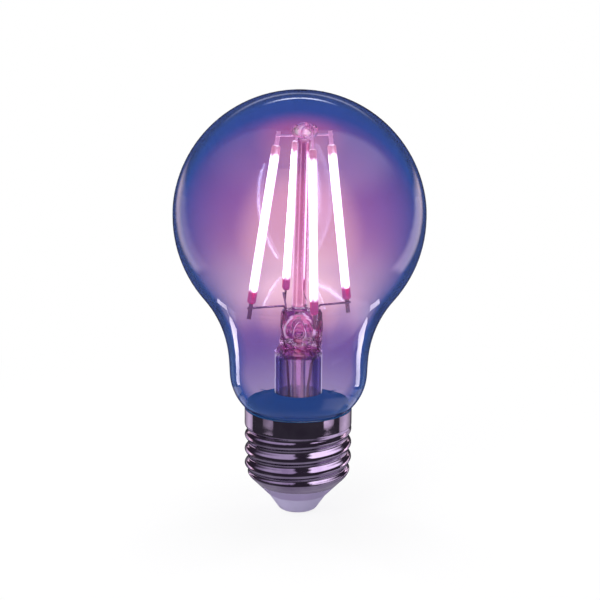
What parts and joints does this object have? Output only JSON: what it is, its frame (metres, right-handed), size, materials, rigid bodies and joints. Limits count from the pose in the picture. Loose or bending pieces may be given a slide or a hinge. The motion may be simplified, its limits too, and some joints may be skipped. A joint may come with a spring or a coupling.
{
  "type": "uv black light bulb",
  "caption": "Violet-blue clear glass lamp bulb with lit filament strips on a glass stem, above a metal screw cap with a pale insulator and centre contact.",
  "frame": {"origin": "centre of the centre contact's outer face, on the lamp's axis", "axes": "+Z along the lamp's axis from the contact towards the crown of the globe; the side seen in front is -Y"},
  "size_m": [0.0604, 0.0602, 0.1038],
  "materials": {
    "envelope_glass": "clear tinted glass",
    "stem_glass": "clear glass",
    "filament_coat": "soft phosphor coat",
    "tab_metal": "stamped strip",
    "nickel_wire": "drawn wire",
    "copper_wire": "copper-clad drawn wire",
    "shell_metal": "bright nickel plate",
    "insulator_plastic": "moulded, matte",
    "contact_metal": "bright rivet",
    "cement": "matte cement",
    "board": "laminate",
    "package": "moulded package",
    "can": "drawn can",
    "fuse_body": "coated ceramic"
  },
  "bodies": {
    "root": {"glass_envelope": "envelope_glass", "glass_stem": "stem_glass", "screw_shell": "shell_metal", "base_insulator": "insulator_plastic", "centre_contact": "contact_metal", "basing_cement": "cement", "driver_board": "board", "bridge_rectifier": "package", "driver_chip": "package", "smoothing_capacitor": "can", "fuse_resistor": "fuse_body", "shell_lead": "copper_wire", "contact_lead": "copper_wire", "lead_in_wire_left": "copper_wire", "lead_in_wire_right": "copper_wire", "upper_bridge_left_front": "nickel_wire", "upper_bridge_back_right": "nickel_wire", "filament_left": "filament_coat", "filament_left_upper_tab": "tab_metal", "filament_left_lower_tab": "tab_metal", "inner_lead_left": "nickel_wire", "filament_front": "filament_coat", "filament_front_upper_tab": "tab_metal", "filament_front_lower_tab": "tab_metal", "inner_lead_front": "nickel_wire", "filament_right": "filament_coat", "filament_right_upper_tab": "tab_metal", "filament_right_lower_tab": "tab_metal", "inner_lead_right": "nickel_wire", "filament_back": "filament_coat", "filament_back_upper_tab": "tab_metal", "filament_back_lower_tab": "tab_metal", "inner_lead_back": "nickel_wire"}
  },
  "joints": []
}
